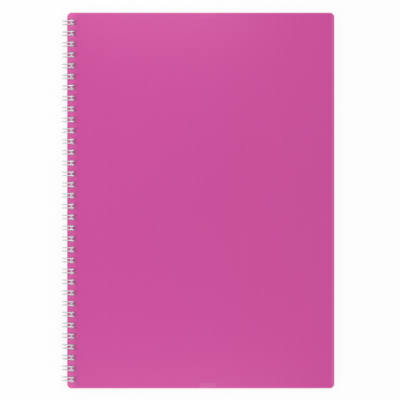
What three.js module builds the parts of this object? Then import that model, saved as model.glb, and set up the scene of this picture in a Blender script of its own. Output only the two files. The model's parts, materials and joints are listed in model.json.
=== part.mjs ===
// A wire-bound notebook: two plastic covers and a pad of punched leaves on one twin-loop wire.
// Millimetres, +Z up. The notebook lies closed on its back cover, with the binding along -X.
import * as THREE from 'three';

// The covers
const coverWidth = 209;
const coverHeight = 294;
const coverThickness = 0.6;
const coverCorner = 3.5;
const coverRoughness = 0.42;

// The binding wire, formed in pairs of loops
const loopPitch = 25.4 / 3; // three loops to the inch
const endMargin = 6; // the least from the head or foot of the cover to the centre of a loop
const wireDiameter = 0.9;
const ringInnerDiameter = 9.5;
const hairpinWidth = 2.65; // between the centres of the two wires of one loop
const backFillet = 0.9; // where a loop turns into the back that joins it to the next one
const seamGap = 0.55; // left between the hairpin tips and the back of the comb
const seamAngle = -83; // degrees round the ring, so that the seam hides under the back cover
const wireSides = 5;
const legSteps = 10;
const tipSteps = 3;
const wireRoughness = 0.3;
const wireMetalness = 0.9;

// The leaves
const leafOverhang = 1; // how far the covers stand past the leaves at the head and the foot
const foreEdgeOverhang = 2; // and along the edge that opens
const leafCorner = 3;
const sheetThickness = 0.075;
const sheetsPerBundle = 7;
const bundleCount = 7;
const layGap = 0.04; // air between pieces that lie on each other
const cornerSteps = 4;
const paperRoughness = 0.9;

// How the pad hangs on the ring
const ringInset = 1.4; // from the spine edge in to the ring's centre
const coverDrop = 4.1; // from the ring's centre down to the underside of the back cover
const hingeOffset = 0.15; // from the spine edge out to the line that the leaves turn about
const punchClearance = 0.2; // between the wire and a punched hole, along the leaf
const sideClearance = 0.225; // between the wire and a punched hole, along the spine

const coverColour = 0xcd529b;
const backColour = 0xc94b95;
const paperColour = 0xf6f5ef;
const wireColour = 0xe4e7ea;

const loopCount = Math.floor((coverHeight - 2 * endMargin) / loopPitch) + 1;
const wireRadius = wireDiameter / 2;
const ringRadius = (ringInnerDiameter + wireDiameter) / 2;
const ringStepAngle = (2 * Math.PI) / (legSteps + 1);
// The flat chords between points cut inside the circle, so the points stand a little outside it
const pointRadius = (2 * ringRadius) / (1 + Math.cos(ringStepAngle / 2));
const bundleThickness = sheetsPerBundle * sheetThickness;
const leavesThickness = sheetThickness + layGap + bundleCount * (bundleThickness + layGap);
const padThickness = 2 * coverThickness + layGap + leavesThickness;
const padTop = padThickness - coverDrop; // heights are counted from the ring's centre
const leafWidth = coverWidth - foreEdgeOverhang;
const leafHeight = coverHeight - 2 * leafOverhang;

function loopCentre(index) {
  return (index - (loopCount - 1) / 2) * loopPitch;
}

// How far from the spine edge the ring crosses a leaf that lies at a height and has turned by an angle
function crossing(height, angle) {
  const inset = ringInset + hingeOffset;
  const across = height + inset * Math.sin(angle);
  const along = Math.sqrt(Math.max(ringRadius ** 2 - across ** 2, 0));
  return inset * Math.cos(angle) + along - hingeOffset;
}

// The hole that clears the wire in the lowest piece at rest and in the front cover while it turns over
function punchSpan() {
  const turnSteps = 90;
  let nearest = crossing(-coverDrop, 0);
  for (let step = 0; step <= turnSteps; step += 1) {
    const angle = (Math.PI * step) / turnSteps;
    nearest = Math.min(nearest, crossing(padTop, angle), crossing(padTop - padThickness / 2, angle));
  }
  const farthest = ringInset + ringRadius;
  const reach = wireRadius + punchClearance;
  return { from: nearest - reach, to: farthest + reach };
}

function punchedOutline(width, height, corner) {
  const outline = new THREE.Shape();
  const half = height / 2;
  outline.moveTo(corner, -half);
  outline.lineTo(width - corner, -half);
  outline.absarc(width - corner, corner - half, corner, -Math.PI / 2, 0);
  outline.lineTo(width, half - corner);
  outline.absarc(width - corner, half - corner, corner, 0, Math.PI / 2);
  outline.lineTo(corner, half);
  outline.absarc(corner, half - corner, corner, Math.PI / 2, Math.PI);
  outline.lineTo(0, corner - half);
  outline.absarc(corner, corner - half, corner, Math.PI, Math.PI * 1.5);

  const span = punchSpan();
  const halfHole = hairpinWidth / 2 + wireRadius + sideClearance;
  for (let index = 0; index < loopCount; index += 1) {
    const y = loopCentre(index);
    const hole = new THREE.Path();
    hole.moveTo(span.from, y - halfHole);
    hole.lineTo(span.from, y + halfHole);
    hole.lineTo(span.to, y + halfHole);
    hole.lineTo(span.to, y - halfHole);
    hole.closePath();
    outline.holes.push(hole);
  }
  return outline;
}

function plate(name, width, height, corner, thickness, colour, roughness) {
  const outline = punchedOutline(width, height, corner);
  const options = { depth: thickness, bevelEnabled: false, curveSegments: cornerSteps };
  const geometry = new THREE.ExtrudeGeometry(outline, options);
  const material = new THREE.MeshStandardMaterial({ color: colour, roughness, metalness: 0 });
  const mesh = new THREE.Mesh(geometry, material);
  mesh.name = name;
  return mesh;
}

// A translucent polypropylene sheet, front or back
function cover(name, colour) {
  return plate(name, coverWidth, coverHeight, coverCorner, coverThickness, colour, coverRoughness);
}

// Writing paper: one sheet, or several that lie together
function leaves(name, thickness) {
  return plate(name, leafWidth, leafHeight, leafCorner, thickness, paperColour, paperRoughness);
}

// The covers and leaves from the bottom up, each a small gap above the one below
function pad() {
  const group = new THREE.Group();
  let level = -coverDrop;
  const lay = (mesh, thickness) => {
    mesh.position.z = level;
    level += thickness + layGap;
    group.add(mesh);
  };
  lay(cover('back_cover', backColour), coverThickness);
  for (let index = bundleCount; index >= 1; index -= 1) {
    lay(leaves(`leaf_bundle_${index}`, bundleThickness), bundleThickness);
  }
  lay(leaves('first_leaf', sheetThickness), sheetThickness);
  lay(cover('front_cover', coverColour), coverThickness);
  return group;
}

// The wire's centre line as it would lie unrolled: x runs round the ring, y along the spine.
// Each loop is a hairpin, and a short back joins it to the next one.
function unrolledWire() {
  const halfWidth = hairpinWidth / 2;
  const tipRise = halfWidth; // the hairpin's tip is a half circle
  const seam = THREE.MathUtils.degToRad(seamAngle) * ringRadius;
  const backLine = seam + (seamGap + wireDiameter) / 2;
  const tipLine = seam - (seamGap + wireDiameter) / 2 + 2 * Math.PI * ringRadius;
  const legStart = backLine + backFillet;
  const legEnd = tipLine - tipRise;
  const legLength = legEnd - legStart;

  const points = [];
  for (let index = 0; index < loopCount; index += 1) {
    const y = loopCentre(index);
    points.push(new THREE.Vector2(backLine, y - halfWidth - backFillet));
    for (let step = 0; step <= legSteps; step += 1) {
      points.push(new THREE.Vector2(legStart + (legLength * step) / legSteps, y - halfWidth));
    }
    for (let step = 1; step < tipSteps; step += 1) {
      const turn = (Math.PI * step) / tipSteps;
      const rise = tipRise * Math.sin(turn);
      points.push(new THREE.Vector2(legEnd + rise, y - halfWidth * Math.cos(turn)));
    }
    for (let step = legSteps; step >= 0; step -= 1) {
      points.push(new THREE.Vector2(legStart + (legLength * step) / legSteps, y + halfWidth));
    }
    points.push(new THREE.Vector2(backLine, y + halfWidth + backFillet));
  }
  return points;
}

function rolled(point) {
  const angle = point.x / ringRadius;
  return new THREE.Vector3(
    ringInset + pointRadius * Math.cos(angle),
    point.y,
    pointRadius * Math.sin(angle),
  );
}

// One tube of wire along the centre line, closed at both ends
function wireGeometry(centres) {
  const positions = [];
  const indices = [];
  const last = centres.length - 1;
  centres.forEach((centre, index) => {
    const before = centres[Math.max(index - 1, 0)];
    const after = centres[Math.min(index + 1, last)];
    const tangent = after.clone().sub(before).normalize();
    const outward = new THREE.Vector3(centre.x - ringInset, 0, centre.z);
    outward.addScaledVector(tangent, -outward.dot(tangent)).normalize();
    const sideways = tangent.clone().cross(outward);
    for (let side = 0; side < wireSides; side += 1) {
      const turn = (2 * Math.PI * side) / wireSides;
      const corner = centre.clone();
      corner.addScaledVector(outward, wireRadius * Math.cos(turn));
      corner.addScaledVector(sideways, wireRadius * Math.sin(turn));
      positions.push(corner.x, corner.y, corner.z);
    }
  });
  for (let index = 0; index < last; index += 1) {
    for (let side = 0; side < wireSides; side += 1) {
      const a = index * wireSides + side;
      const b = index * wireSides + ((side + 1) % wireSides);
      indices.push(a, b, a + wireSides, b, b + wireSides, a + wireSides);
    }
  }
  for (let side = 1; side < wireSides - 1; side += 1) {
    const end = last * wireSides;
    indices.push(0, side + 1, side);
    indices.push(end, end + side, end + side + 1);
  }
  const geometry = new THREE.BufferGeometry();
  geometry.setAttribute('position', new THREE.Float32BufferAttribute(positions, 3));
  geometry.setIndex(indices);
  geometry.computeVertexNormals();
  return geometry;
}

// The least air between two stretches of the wire that aren't neighbours along it
function leastGap(centres) {
  const sampleSpacing = 0.25;
  const neighbourLength = 2 * hairpinWidth;
  const samples = [];
  let travelled = 0;
  for (let index = 1; index < centres.length; index += 1) {
    const length = centres[index].distanceTo(centres[index - 1]);
    const count = Math.max(Math.round(length / sampleSpacing), 1);
    for (let step = 0; step < count; step += 1) {
      const point = centres[index - 1].clone().lerp(centres[index], step / count);
      samples.push({ point, travelled: travelled + (length * step) / count });
    }
    travelled += length;
  }
  const reach = (4 * Math.PI * ringRadius) + 2 * loopPitch; // two loops on along the wire
  let least = Infinity;
  samples.forEach((sample, index) => {
    for (let other = index + 1; other < samples.length; other += 1) {
      const apart = samples[other].travelled - sample.travelled;
      if (apart > reach) break;
      if (apart > neighbourLength) {
        least = Math.min(least, samples[other].point.distanceTo(sample.point));
      }
    }
  });
  return least - wireDiameter;
}

function bindingWire() {
  const centres = unrolledWire().map(rolled);
  console.log(`binding wire: least gap to itself ${leastGap(centres).toFixed(2)} mm`);
  const finish = { color: wireColour, roughness: wireRoughness, metalness: wireMetalness };
  const material = new THREE.MeshStandardMaterial(finish);
  const mesh = new THREE.Mesh(wireGeometry(centres), material);
  mesh.name = 'binding_wire';
  return mesh;
}

// On a table the pad's far edge sinks until it rests there too, beside the ring's underside
function restTilt() {
  const lift = pointRadius + wireRadius - coverDrop;
  return Math.asin(lift / (coverWidth - ringInset));
}

const notebook = new THREE.Group();
const book = new THREE.Group();
book.add(pad(), bindingWire());
book.rotation.y = restTilt();
notebook.add(book);

// The origin is the middle of the notebook's footprint, on the table
notebook.updateMatrixWorld(true);
const extent = new THREE.Box3().setFromObject(notebook, true);
const middle = extent.getCenter(new THREE.Vector3());
book.position.set(-middle.x, -middle.y, -extent.min.z);

export default notebook;
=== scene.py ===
"""A wire-bound notebook with magenta polypropylene covers, lying closed on a white table."""
import json
import math
import random

import bpy
from mathutils import Matrix, Vector


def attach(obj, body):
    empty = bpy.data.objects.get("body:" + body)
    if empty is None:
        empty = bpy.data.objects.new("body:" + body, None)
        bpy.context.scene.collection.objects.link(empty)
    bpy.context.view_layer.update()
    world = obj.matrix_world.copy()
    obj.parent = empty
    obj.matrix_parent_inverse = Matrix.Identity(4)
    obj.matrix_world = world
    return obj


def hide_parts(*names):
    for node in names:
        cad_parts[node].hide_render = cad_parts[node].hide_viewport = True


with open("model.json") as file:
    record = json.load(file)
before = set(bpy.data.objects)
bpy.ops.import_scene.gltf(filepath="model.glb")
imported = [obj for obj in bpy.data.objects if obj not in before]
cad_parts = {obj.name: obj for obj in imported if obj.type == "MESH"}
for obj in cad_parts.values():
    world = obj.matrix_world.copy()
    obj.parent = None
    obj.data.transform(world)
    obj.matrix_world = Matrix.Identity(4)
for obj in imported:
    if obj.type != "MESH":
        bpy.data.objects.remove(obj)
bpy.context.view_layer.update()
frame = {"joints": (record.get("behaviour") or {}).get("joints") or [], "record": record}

MM = 0.001

# The covers
COVER_WIDTH = 209 * MM
COVER_HALF_HEIGHT = 147 * MM
COVER_THICKNESS = 0.6 * MM
COVER_CORNER = 3.5 * MM
COVER_EDGE_ROUND = 0.1 * MM
COVER_EDGE_SEGMENTS = 2
COVER_EDGE_ANGLE = math.radians(50)  # edges that turn by more than this are rounded

# The leaves
FORE_EDGE_OVERHANG = 2 * MM
LEAF_OVERHANG = 1 * MM
LEAF_WIDTH = COVER_WIDTH - FORE_EDGE_OVERHANG
LEAF_HALF_HEIGHT = COVER_HALF_HEIGHT - LEAF_OVERHANG
LEAF_CORNER = 3 * MM
SHEET_PITCH = 0.075 * MM
SHEET_THICKNESS = 0.062 * MM
SHEET_SHUFFLE = 0.12 * MM
SHUFFLE_SEED = 34
SHEETS_PER_BUNDLE = 7
BUNDLES = 7
BACK_BUNDLES = (5, 6, 7)  # they stay on the back cover
LAY_GAP = 0.04 * MM
CORNER_SEGMENTS = 8
SMOOTH_ANGLE = math.radians(20)  # small enough that a rounded edge doesn't shade the flat faces

# The holes: from the spine edge inwards, and from a loop's centre towards the foot and the head.
# They leave room for the lean of the loops while the leaves turn over.
LEAF_HOLE = {"near": 2.644 * MM, "far": 7.25 * MM, "foot": 2.4 * MM, "head": 2.4 * MM}
FRONT_HOLE = {"near": 2.2 * MM, "far": 7.06 * MM, "foot": 2.42 * MM, "head": 2.3 * MM}
HOLE_CORNER = 0.55 * MM
HOLE_SEGMENTS = 3
PUNCH_LENGTH = 10 * MM

# The binding wire
LOOPS = 34
LOOP_PITCH = 25.4 / 3 * MM
WIRE_RADIUS = 0.45 * MM
RING_RADIUS = 5.2 * MM
RING_INSET = 1.4 * MM
HALF_HAIRPIN = 1.325 * MM
BACK_FILLET = 0.9 * MM
WIRE_TAIL = 0.1 * MM
SEAM_GAP = 0.55 * MM
SEAM_ANGLE = math.radians(-83)
COMB_SHRINK = 0.0034  # the comb is shorter than its row of holes, so the loops lean inwards
ROW_SHIFT = -0.25 * MM  # of the row of holes and loops, towards the foot
LEG_STEPS = 32
TIP_STEPS = 8
FILLET_STEPS = 4
WIRE_RESOLUTION = 4

# How the pad hangs on the ring and leans on the table
COVER_DROP = 4.1 * MM
HINGE_OFFSET = 0.15 * MM
REST_FACE = next(m for m in frame["record"]["mounts"] if m["name"] == "rest_face")
TILT = math.asin(-REST_FACE["axis"][0])
HINGE = Vector(frame["joints"][0]["pos_m"])
SPINE = HINGE + Vector((HINGE_OFFSET * math.cos(TILT), 0, -HINGE_OFFSET * math.sin(TILT)))
LEANING = Matrix.Translation(SPINE) @ Matrix.Rotation(TILT, 4, "Y")


def loop_centre(index):
    return (index - (LOOPS - 1) / 2) * LOOP_PITCH + ROW_SHIFT


# Materials

SOFT_EDGE = 0.3 * MM


def linear(code):
    """An sRGB colour such as "#C9519B" as the linear values that a shader wants."""
    channels = [int(code[i : i + 2], 16) / 255 for i in (1, 3, 5)]
    return [c / 12.92 if c <= 0.04045 else ((c + 0.055) / 1.055) ** 2.4 for c in channels] + [1]


def add_node(tree, kind, inputs=None, output=0, **settings):
    """Adds one node and gives one of its outputs. An input is a value or another's output."""
    node = tree.nodes.new(f"ShaderNode{kind}")
    for name, value in settings.items():
        setattr(node, name, value)
    for socket, value in (inputs or {}).items():
        if isinstance(value, bpy.types.NodeSocket):
            tree.links.new(value, node.inputs[socket])
        else:
            node.inputs[socket].default_value = value
    return node.outputs[output] if len(node.outputs) else None


def new_material(name):
    """An empty material, its tree, and the object's own coordinates."""
    material = bpy.data.materials.new(name)
    material.use_nodes = True
    tree = material.node_tree
    tree.nodes.clear()
    return material, tree, add_node(tree, "TexCoord", output="Object")


def band(tree, value, start=None, end=None, soft=SOFT_EDGE):
    """A mask that is 1 from start to end along the value. Its edges fade by soft to each side."""
    mask = 1.0
    if start is not None:
        fade = {"Value": value, "From Min": start - soft, "From Max": start + soft}
        mask = add_node(tree, "MapRange", fade)
    if end is not None:
        fade = {"Value": value, "From Min": end - soft, "From Max": end + soft}
        mask = add_node(tree, "MapRange", fade | {"To Min": mask, "To Max": 0.0})
    return mask


def layered(tree, ground, *layers):
    """The ground colour with others over it, each by its strength and where all its masks are."""
    colour = linear(ground)
    for over, strength, *masks in layers:
        for mask in masks:
            strength = add_node(tree, "Math", {0: mask, 1: strength}, operation="MULTIPLY")
        inputs = {0: strength, 6: colour, 7: linear(over)}
        colour = add_node(tree, "Mix", inputs, output=2, data_type="RGBA", clamp_factor=True)
    return colour


# Translucent polypropylene sheet, extruded with fine lines along the spine and die cut.
# It is satin, and the paper behind it makes it look opaque. Light is painted into its colour: it is
# painted lighter where the leaves end and along the spine, for the light that gets in through its
# holes.
MAGENTA = "#C73595"
# PALE_MAGENTA is the tone of the streaks and clouds, and also the painted light where the cover
# reaches past the leaves
PALE_MAGENTA = "#D75FA8"
LINE_COLOUR = "#E58CC0"
LINE_PITCH = 1.6 * MM  # real lines are about 0.3 mm apart, which is too fine to show
STREAK_WIDTH = 1.6 * MM
STREAK_LENGTH = 125 * MM
CLOUD_SIZE = 71.43 * MM
GRAIN_SIZE = 0.35 * MM
RELIEF_DEPTH = 0.02 * MM
# Painted light: a lighter colour along the spine, for the light that gets in through the holes
MARGIN_PAINTED_LIGHT = "#E05AAA"
MARGIN_WIDTH = 5.5 * MM  # to where the lighter margin has faded by half
MARGIN_SOFTNESS = 2.5 * MM
PATCH_COLOUR = "#DC84B4"  # a faint pale rectangle at the middle of the head and of the foot
PATCH_LEFT = 1.0 * MM
PATCH_RIGHT = 13.9 * MM
PATCH_DEPTH = 4.0 * MM
FRONT_PATCH = 0.17
HEAD_PATCH_SHARE = 0.25  # of the strength that the rectangle has at the foot


def polypropylene(name, patch_strength):
    material, tree, place = new_material(name)
    x = add_node(tree, "SeparateXYZ", {0: place}, output="X")
    y = x.node.outputs["Y"]
    from_middle = add_node(tree, "Math", {0: y}, operation="ABSOLUTE")

    turns = add_node(tree, "Math", {0: x, 1: 2 * math.pi / LINE_PITCH}, operation="MULTIPLY")
    wave = add_node(tree, "Math", {0: turns}, operation="SINE")
    lines = add_node(tree, "Math", {0: wave, 1: 0.5, 2: 0.5}, operation="MULTIPLY_ADD")
    drawn_out = {"Vector": place, "Scale": (1 / STREAK_WIDTH, 1 / STREAK_LENGTH, 1)}
    along_streaks = add_node(tree, "Mapping", drawn_out)
    streaks = add_node(tree, "TexNoise", {"Vector": along_streaks, "Scale": 1, "Detail": 3})
    clouds = add_node(tree, "TexNoise", {"Vector": place, "Scale": 1 / CLOUD_SIZE, "Detail": 2})
    grain = add_node(tree, "TexNoise", {"Vector": place, "Scale": 1 / GRAIN_SIZE, "Detail": 2})

    # Painted light along the spine
    spine_painted_light = band(tree, x, end=SPINE.x + MARGIN_WIDTH, soft=MARGIN_SOFTNESS)
    # Painted light: the cover is painted lighter where it reaches past the leaves, for the light
    # that comes through it from the table
    beyond_side = band(tree, x, start=SPINE.x + LEAF_WIDTH)
    beyond_ends = band(tree, from_middle, start=LEAF_HALF_HEIGHT)
    past_leaves_painted_light = add_node(tree, "Math", {0: beyond_side, 1: beyond_ends}, operation="MAXIMUM")
    patch = band(tree, x, PATCH_LEFT, PATCH_RIGHT)
    near_end = band(tree, from_middle, start=COVER_HALF_HEIGHT - PATCH_DEPTH)
    from_foot = {"Value": y, "From Min": -MM, "From Max": MM}
    at_foot = add_node(tree, "MapRange", from_foot | {"To Min": 1.0, "To Max": HEAD_PATCH_SHARE})
    base = layered(
        tree,
        MAGENTA,
        (PALE_MAGENTA, 0.10, streaks),
        (PALE_MAGENTA, 0.08, clouds),
        # painted light along the spine
        (MARGIN_PAINTED_LIGHT, 0.8, spine_painted_light),
        # painted light past the leaves
        (PALE_MAGENTA, 0.6, past_leaves_painted_light),
        (PATCH_COLOUR, patch_strength, patch, near_end, at_foot),
        (LINE_COLOUR, 0.08, lines),
    )

    relief = 0.0
    for pattern, height in ((lines, 0.6), (streaks, 0.8), (grain, 0.25)):
        raised = {0: pattern, 1: height, 2: relief}
        relief = add_node(tree, "Math", raised, operation="MULTIPLY_ADD")
    bumps = {"Height": relief, "Strength": 0.25, "Distance": RELIEF_DEPTH}
    finish = {
        "Base Color": base,
        "Roughness": add_node(tree, "MapRange", {"Value": streaks, "To Min": 0.34, "To Max": 0.42}),
        "IOR": 1.49,
        "Normal": add_node(tree, "Bump", bumps),
        "Subsurface Weight": 0.15,
        "Subsurface Radius": (1, 0.3, 0.6),
        "Subsurface Scale": 0.4 * MM,
    }
    shader = add_node(tree, "BsdfPrincipled", finish)
    add_node(tree, "OutputMaterial", {"Surface": shader})
    return material


# Uncoated woodfree writing paper: off white, matt, with a faint cloud of fibres, and ruled in pale
# grey blue. The rules are 0.1 mm thick on real paper and are drawn thicker here, to show.
PAPER_WHITE = "#F7F6F1"
PAPER_SHADE = "#EDEBE2"
FIBRE_COLOUR = "#E2DFD4"
FIBRE_SIZE = 0.8 * MM
FIBRE_DEPTH = 0.01 * MM
MOTTLE_SIZE = 16.67 * MM
RULE_COLOUR = "#AEBBCB"
RULE_PITCH = 7 * MM
RULE_THICKNESS = 0.28 * MM
TOP_MARGIN = 22 * MM
FOOT_MARGIN = 12 * MM


def writing_paper(name):
    material, tree, place = new_material(name)
    y = add_node(tree, "SeparateXYZ", {0: place}, output="Y")
    fibres = add_node(tree, "TexNoise", {"Vector": place, "Scale": 1 / FIBRE_SIZE, "Detail": 4})
    mottle = add_node(tree, "TexNoise", {"Vector": place, "Scale": 1 / MOTTLE_SIZE, "Detail": 3})

    rules_start = LEAF_HALF_HEIGHT - TOP_MARGIN + RULE_THICKNESS / 2
    rules_end = FOOT_MARGIN - LEAF_HALF_HEIGHT
    down = add_node(tree, "Math", {0: rules_start, 1: y}, operation="SUBTRACT")
    in_pitch = add_node(tree, "Math", {0: down, 1: RULE_PITCH}, operation="MODULO")
    on_rule = add_node(tree, "Math", {0: in_pitch, 1: RULE_THICKNESS}, operation="LESS_THAN")
    below_top = add_node(tree, "Math", {0: down, 1: 0.0}, operation="GREATER_THAN")
    above_foot = add_node(tree, "Math", {0: y, 1: rules_end}, operation="GREATER_THAN")
    base = layered(
        tree,
        PAPER_WHITE,
        (PAPER_SHADE, 0.35, mottle),
        (FIBRE_COLOUR, 0.15, fibres),
        (RULE_COLOUR, 0.85, on_rule, below_top, above_foot),
    )

    bumps = {"Height": fibres, "Strength": 0.15, "Distance": FIBRE_DEPTH}
    finish = {
        "Base Color": base,
        "Roughness": 0.88,
        "IOR": 1.5,
        "Normal": add_node(tree, "Bump", bumps),
    }
    shader = add_node(tree, "BsdfPrincipled", finish)
    add_node(tree, "OutputMaterial", {"Surface": shader})
    return material


# Bright tinned steel wire, drawn through a die and formed. It is smooth and silver white, with
# faint lines of drawing that only break up the highlight.
TIN = "#D9DCDF"
DULL_TIN = "#C9CDD1"
DRAWING_SIZE = 0.25 * MM


def tinned_steel(name):
    material, tree, place = new_material(name)
    drawing = add_node(tree, "TexNoise", {"Vector": place, "Scale": 1 / DRAWING_SIZE, "Detail": 2})
    finish = {
        "Base Color": layered(tree, TIN, (DULL_TIN, 0.5, drawing)),
        "Metallic": 1.0,
        "Roughness": add_node(tree, "MapRange", {"Value": drawing, "To Min": 0.20, "To Max": 0.34}),
    }
    shader = add_node(tree, "BsdfPrincipled", finish)
    add_node(tree, "OutputMaterial", {"Surface": shader})
    return material


# Modelling


def start_clean():
    bpy.ops.object.select_all(action="DESELECT")


def pick(*pieces):
    start_clean()
    for piece in pieces:
        piece.select_set(True)
    bpy.context.view_layer.objects.active = pieces[0]


def apply_modifier(piece, kind, **settings):
    pick(piece)
    modifier = piece.modifiers.new(kind.title(), kind)
    for name, value in settings.items():
        setattr(modifier, name, value)
    bpy.ops.object.modifier_apply(modifier=modifier.name)


def size_up(piece, name, size):
    """Names a new primitive, brings it to its size, and goes into edit mode."""
    piece.name = name
    piece.scale = size
    bpy.ops.object.transform_apply(location=True, rotation=True, scale=True)
    bpy.ops.object.mode_set(mode="EDIT")


def rounded_sheet(name, width, half_height, corner, thickness):
    """A sheet with rounded corners, its spine edge at x = 0 and its underside at z = 0."""
    start_clean()
    bpy.ops.mesh.primitive_plane_add(size=1, location=(width / 2, 0, 0))
    sheet = bpy.context.object
    size_up(sheet, name, (width, 2 * half_height, 1))
    bpy.ops.mesh.select_all(action="SELECT")
    bpy.ops.mesh.bevel(
        offset=corner, offset_type="OFFSET", segments=CORNER_SEGMENTS, affect="VERTICES"
    )
    bpy.ops.mesh.select_all(action="SELECT")
    bpy.ops.mesh.extrude_region_move(TRANSFORM_OT_translate={"value": (0, 0, thickness)})
    bpy.ops.mesh.select_all(action="SELECT")
    bpy.ops.mesh.normals_make_consistent(inside=False)
    bpy.ops.object.mode_set(mode="OBJECT")
    return sheet


def punch_bar(near, far, foot, head):
    """The row of punches that cuts the holes. Their long edges are rounded."""
    start_clean()
    middle = ((near + far) / 2, loop_centre(0) + (head - foot) / 2, 0)
    bpy.ops.mesh.primitive_cube_add(size=1, location=middle)
    bar = bpy.context.object
    size_up(bar, "punch_bar", (far - near, foot + head, PUNCH_LENGTH))
    bpy.ops.mesh.select_mode(type="EDGE")
    bpy.ops.mesh.select_all(action="DESELECT")
    bpy.ops.object.mode_set(mode="OBJECT")
    for edge in bar.data.edges:
        a, b = (bar.data.vertices[i].co for i in edge.vertices)
        edge.select = abs(a.z - b.z) > PUNCH_LENGTH / 2
    bpy.ops.object.mode_set(mode="EDIT")
    bpy.ops.mesh.bevel(offset=HOLE_CORNER, segments=HOLE_SEGMENTS, affect="EDGES")
    bpy.ops.object.mode_set(mode="OBJECT")
    apply_modifier(
        bar,
        "ARRAY",
        count=LOOPS,
        use_relative_offset=False,
        use_constant_offset=True,
        constant_offset_displace=(0, LOOP_PITCH, 0),
    )
    return bar


def punch(sheet, hole):
    bar = punch_bar(**hole)
    apply_modifier(sheet, "BOOLEAN", operation="DIFFERENCE", solver="EXACT", object=bar)
    bpy.data.objects.remove(bar)


def finish_piece(piece, name, material, body, slot, *nodes):
    """Leans the piece as the book leans, gives it its finish and its body, and hides the CAD nodes
    that it stands for.
    """
    piece.name = name
    piece.data.name = name
    piece.data.transform(LEANING)
    piece.data.update()
    pick(piece)
    bpy.ops.object.shade_smooth_by_angle(angle=SMOOTH_ANGLE)
    piece.data.materials.clear()
    piece.data.materials.append(material)
    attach(piece, body)
    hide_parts(*nodes)


def copy_of(piece, height, shift=(0, 0)):
    """A copy with a mesh of its own, lifted to its height in the pad."""
    twin = piece.copy()
    twin.data = piece.data.copy()
    twin.data.transform(Matrix.Translation((*shift, height)))
    bpy.context.scene.collection.objects.link(twin)
    return twin


def unrolled_loop():
    """One loop of the wire laid flat: u runs round the ring, and v along the spine."""
    seam = SEAM_ANGLE * RING_RADIUS
    back_line = seam + SEAM_GAP / 2 + WIRE_RADIUS
    tip_line = seam - SEAM_GAP / 2 - WIRE_RADIUS + 2 * math.pi * RING_RADIUS
    leg_start = back_line + BACK_FILLET
    leg_end = tip_line - HALF_HAIRPIN
    half_loop = [(back_line, -HALF_HAIRPIN - BACK_FILLET - WIRE_TAIL)]
    for step in range(FILLET_STEPS + 1):
        turn = math.pi / 2 * step / FILLET_STEPS
        u = leg_start - BACK_FILLET * math.cos(turn)
        half_loop.append((u, BACK_FILLET * (math.sin(turn) - 1) - HALF_HAIRPIN))
    for step in range(1, LEG_STEPS + 1):
        half_loop.append((leg_start + (leg_end - leg_start) * step / LEG_STEPS, -HALF_HAIRPIN))
    for step in range(1, TIP_STEPS + 1):
        turn = math.pi / 2 * step / TIP_STEPS
        half_loop.append((leg_end + HALF_HAIRPIN * math.sin(turn), -HALF_HAIRPIN * math.cos(turn)))
    return half_loop + [(u, -v) for u, v in reversed(half_loop[:-1])]


def wire_path():
    """The wire's centre line, rolled up into rings. The side away from the book leans the most."""
    loop = unrolled_loop()
    path = []
    for index in range(LOOPS):
        for u, v in loop:
            angle = u / RING_RADIUS
            across = RING_INSET + RING_RADIUS * math.cos(angle)
            lean = COMB_SHRINK * (1 - math.cos(angle)) / 2
            along = loop_centre(index) * (1 - lean) + v
            path.append(Vector((across, along, RING_RADIUS * math.sin(angle))))
    return path


def wire_form():
    path = wire_path()
    curve = bpy.data.curves.new("wire", "CURVE")
    curve.dimensions = "3D"
    curve.bevel_depth = WIRE_RADIUS
    curve.bevel_resolution = WIRE_RESOLUTION
    curve.use_fill_caps = True
    spline = curve.splines.new("POLY")
    spline.points.add(len(path) - 1)
    for point, place in zip(spline.points, path):
        point.co = (*place, 1)
    wire = bpy.data.objects.new("wire", curve)
    bpy.context.scene.collection.objects.link(wire)
    pick(wire)
    bpy.ops.object.convert(target="MESH")
    return bpy.context.object


def cover_sheet(hole, height):
    sheet = rounded_sheet("cover", COVER_WIDTH, COVER_HALF_HEIGHT, COVER_CORNER, COVER_THICKNESS)
    punch(sheet, hole)
    apply_modifier(
        sheet,
        "BEVEL",
        width=COVER_EDGE_ROUND,
        segments=COVER_EDGE_SEGMENTS,
        limit_method="ANGLE",
        angle_limit=COVER_EDGE_ANGLE,
    )
    sheet.data.transform(Matrix.Translation((0, 0, height)))
    return sheet


def build_book():
    """The pad from the back cover up, each piece a small gap above the last, and the wire."""
    magenta = polypropylene("magenta translucent polypropylene", FRONT_PATCH)
    back_magenta = polypropylene("magenta translucent polypropylene, back", 0)
    paper = writing_paper("ruled woodfree paper")
    steel = tinned_steel("tinned steel wire")

    leaf = rounded_sheet("leaf", LEAF_WIDTH, LEAF_HALF_HEIGHT, LEAF_CORNER, SHEET_THICKNESS)
    punch(leaf, LEAF_HOLE)

    shuffle = random.Random(SHUFFLE_SEED)
    level = -COVER_DROP
    back = cover_sheet(LEAF_HOLE, level)
    finish_piece(back, "back_cover_sheet", back_magenta, "pad_back", "cover_plastic", "back_cover")
    level += COVER_THICKNESS + LAY_GAP
    for index in range(BUNDLES, 0, -1):
        sheets = []
        for number in range(SHEETS_PER_BUNDLE):
            shift = [shuffle.uniform(-SHEET_SHUFFLE, SHEET_SHUFFLE) for _ in range(2)]
            sheets.append(copy_of(leaf, level + number * SHEET_PITCH, shift))
        pick(*sheets)
        bpy.ops.object.join()
        body = "pad_back" if index in BACK_BUNDLES else f"leaf_bundle_{index}"
        finish_piece(sheets[0], f"sheets_{index}", paper, body, "paper", f"leaf_bundle_{index}")
        level += SHEETS_PER_BUNDLE * SHEET_PITCH + LAY_GAP
    top_sheet = copy_of(leaf, level)
    finish_piece(top_sheet, "top_sheet", paper, "first_leaf", "paper", "first_leaf")
    level += SHEET_PITCH + LAY_GAP
    front = cover_sheet(FRONT_HOLE, level)
    finish_piece(front, "front_cover_sheet", magenta, "front_cover", "cover_plastic", "front_cover")
    finish_piece(wire_form(), "twin_loop_wire", steel, "pad_back", "wire", "binding_wire")

    bpy.data.objects.remove(leaf)
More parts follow.
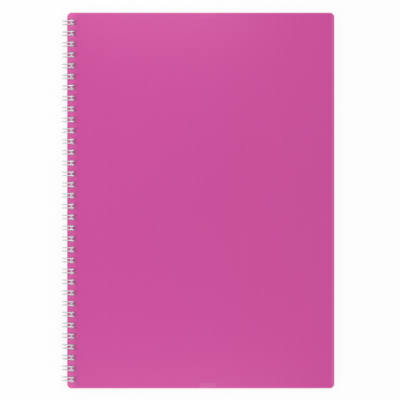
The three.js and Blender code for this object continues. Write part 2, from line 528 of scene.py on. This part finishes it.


# The table: matt white paper with a glow of its own, which only the camera and reflections see.
# Under the book, light and shade are painted into the glow: it is dimmer under the holes as painted
# shade, dimmer still and purple behind the two wires of a loop as a painted shadow, and magenta
# further in as painted light for the light that comes through the covers.
TABLE_SIZE = 24
TABLE_COLOUR = "#FAFAFA"
WHITE = "#FFFFFF"
# Painted light and painted shade: the magenta glow under the covers and the purple shadow behind
# the wires
COVER_LIGHT = "#C8569F"
SHADED_LIGHT = "#C632A6"
GLOW_SHARE = 0.86
# Shares of glow under the book, lowered there as painted shade
HOLE_GLOW = 0.4  # in the near part of the holes
COVER_GLOW = 0.8  # further in
SHADE_GLOW = 0.3  # further in, behind the two wires of a loop
BOOK_INSET = 1 * MM  # how far inside the book's outline it changes
HOLE_START = 1.5 * MM  # this and the next two are counted from the spine edge
DEEP_START = 4.1 * MM
SHADE_END = 5.9 * MM
SHADE_HALF_LENGTH = 1.4 * MM


def background_rays(tree):
    """1 for the rays that should see the plain white background."""
    seen = add_node(tree, "LightPath", output="Is Camera Ray")
    rays = seen.node.outputs
    for ray in ("Is Glossy Ray", "Is Transmission Ray"):
        seen = add_node(tree, "Math", {0: seen, 1: rays[ray]}, operation="MAXIMUM")
    return seen


def white_table():
    start_clean()
    bpy.ops.mesh.primitive_plane_add(size=TABLE_SIZE, location=(0, 0, 0))
    table = bpy.context.object
    table.name = "table"
    material, tree, place = new_material("white studio paper")
    x = add_node(tree, "SeparateXYZ", {0: place}, output="X")
    y = x.node.outputs["Y"]
    from_middle = add_node(tree, "Math", {0: y}, operation="ABSOLUTE")

    under_book = 1.0
    for distance, edge in ((from_middle, COVER_HALF_HEIGHT), (x, SPINE.x + COVER_WIDTH)):
        within = add_node(tree, "Math", {0: distance, 1: edge - BOOK_INSET}, operation="LESS_THAN")
        under_book = add_node(tree, "Math", {0: within, 1: under_book}, operation="MULTIPLY")
    after_start = band(tree, x, start=SPINE.x + HOLE_START, soft=0.5 * MM)
    in_holes = add_node(tree, "Math", {0: under_book, 1: after_start}, operation="MULTIPLY")
    further_in = band(tree, x, start=SPINE.x + DEEP_START, soft=0.7 * MM)
    deep = add_node(tree, "Math", {0: under_book, 1: further_in}, operation="MULTIPLY")

    from_first = add_node(tree, "Math", {0: y, 1: loop_centre(0)}, operation="SUBTRACT")
    from_loop = add_node(tree, "Math", {0: from_first, 1: LOOP_PITCH / 2}, operation="PINGPONG")
    by_wires = band(tree, from_loop, end=SHADE_HALF_LENGTH)
    before_end = band(tree, x, end=SPINE.x + SHADE_END, soft=0.4 * MM)
    behind_wires = add_node(tree, "Math", {0: by_wires, 1: before_end}, operation="MINIMUM")
    shade = add_node(tree, "Math", {0: deep, 1: behind_wires}, operation="MULTIPLY")

    # Painted shade and light under the book: the glow is dimmed under the holes and behind the
    # wires, and tinted magenta further in
    share = GLOW_SHARE
    for where, glow_there in ((in_holes, HOLE_GLOW), (deep, COVER_GLOW), (shade, SHADE_GLOW)):
        share = add_node(tree, "MapRange", {"Value": where, "To Min": share, "To Max": glow_there})
    share = add_node(tree, "Math", {0: background_rays(tree), 1: share}, operation="MULTIPLY")
    glow = layered(tree, WHITE, (COVER_LIGHT, 1.0, deep), (SHADED_LIGHT, 1.0, shade))
    matt = add_node(tree, "BsdfDiffuse", {"Color": linear(TABLE_COLOUR)})
    glowing = add_node(tree, "Emission", {"Color": glow, "Strength": 1.0})
    surface = add_node(tree, "MixShader", {0: share, 1: matt, 2: glowing})
    add_node(tree, "OutputMaterial", {"Surface": surface})
    table.data.materials.append(material)


# The studio
WORLD_LIGHT = 0.73
BACKGROUND_LIGHT = 1.0  # at which white is white


def softbox(name, place, size, power, flat=False, shines=True):
    """An area light that faces the middle of the table, or straight down if it lies flat.

    One that doesn't shine leaves no highlight on the gloss and the wire.
    """
    start_clean()
    bpy.ops.object.light_add(type="AREA", location=place)
    lamp = bpy.context.object
    lamp.name = name
    lamp.data.shape = "RECTANGLE"
    lamp.data.size, lamp.data.size_y = size
    lamp.data.energy = power
    aim = Vector((place[0], place[1], 0)) if flat else Vector((0, 0, 0))
    lamp.rotation_mode = "QUATERNION"
    lamp.rotation_quaternion = (aim - Vector(place)).to_track_quat("-Z", "Y")
    lamp.visible_camera = False
    lamp.visible_glossy = shines
    return lamp


def studio():
    world = bpy.context.scene.world or bpy.data.worlds.new("studio")
    bpy.context.scene.world = world
    world.use_nodes = True
    tree = world.node_tree
    tree.nodes.clear()
    levels = {"To Min": WORLD_LIGHT, "To Max": BACKGROUND_LIGHT}
    strength = add_node(tree, "MapRange", {"Value": background_rays(tree)} | levels)
    sky = add_node(tree, "Background", {"Color": linear(WHITE), "Strength": strength})
    add_node(tree, "OutputWorld", {"Surface": sky})

    softbox("right softbox", (2.2, 0, 2.4), size=(1.8, 3.6), power=18)
    close_lamps = [
        softbox("left softbox", (-0.27, 0, 0.25), size=(0.10, 0.35), power=0.16, shines=False),
        softbox("head softbox", (-0.03, 0.158, 0.16), size=(0.16, 0.02), power=0.039, flat=True),
        softbox("foot softbox", (-0.02, -0.158, 0.14), size=(0.2, 0.02), power=0.029, flat=True),
    ]
    # They stand so close that a leaf that is turned over would catch too much of their light
    lit = bpy.data.collections.new("lit by the close softboxes")
    for name in ("front_cover_sheet", "twin_loop_wire", "table"):
        lit.objects.link(bpy.data.objects[name])
    for lamp in close_lamps:
        lamp.light_linking.receiver_collection = lit


# The picture is square, and the camera looks straight down
PICTURE_WIDTH = 313.1 * MM
PICTURE_CENTRE = (1.5 * MM, 0.4 * MM)
COVER_LEVEL = 6.2 * MM
LENS = 500
SENSOR = 36


def camera():
    start_clean()
    height = COVER_LEVEL + PICTURE_WIDTH * LENS / SENSOR
    bpy.ops.object.camera_add(location=(*PICTURE_CENTRE, height), rotation=(0, 0, 0))
    bpy.context.object.data.lens = LENS
    bpy.context.object.data.sensor_width = SENSOR
    bpy.context.scene.camera = bpy.context.object


bpy.context.scene.view_settings.view_transform = "Standard"
camera()
build_book()
white_table()
studio()
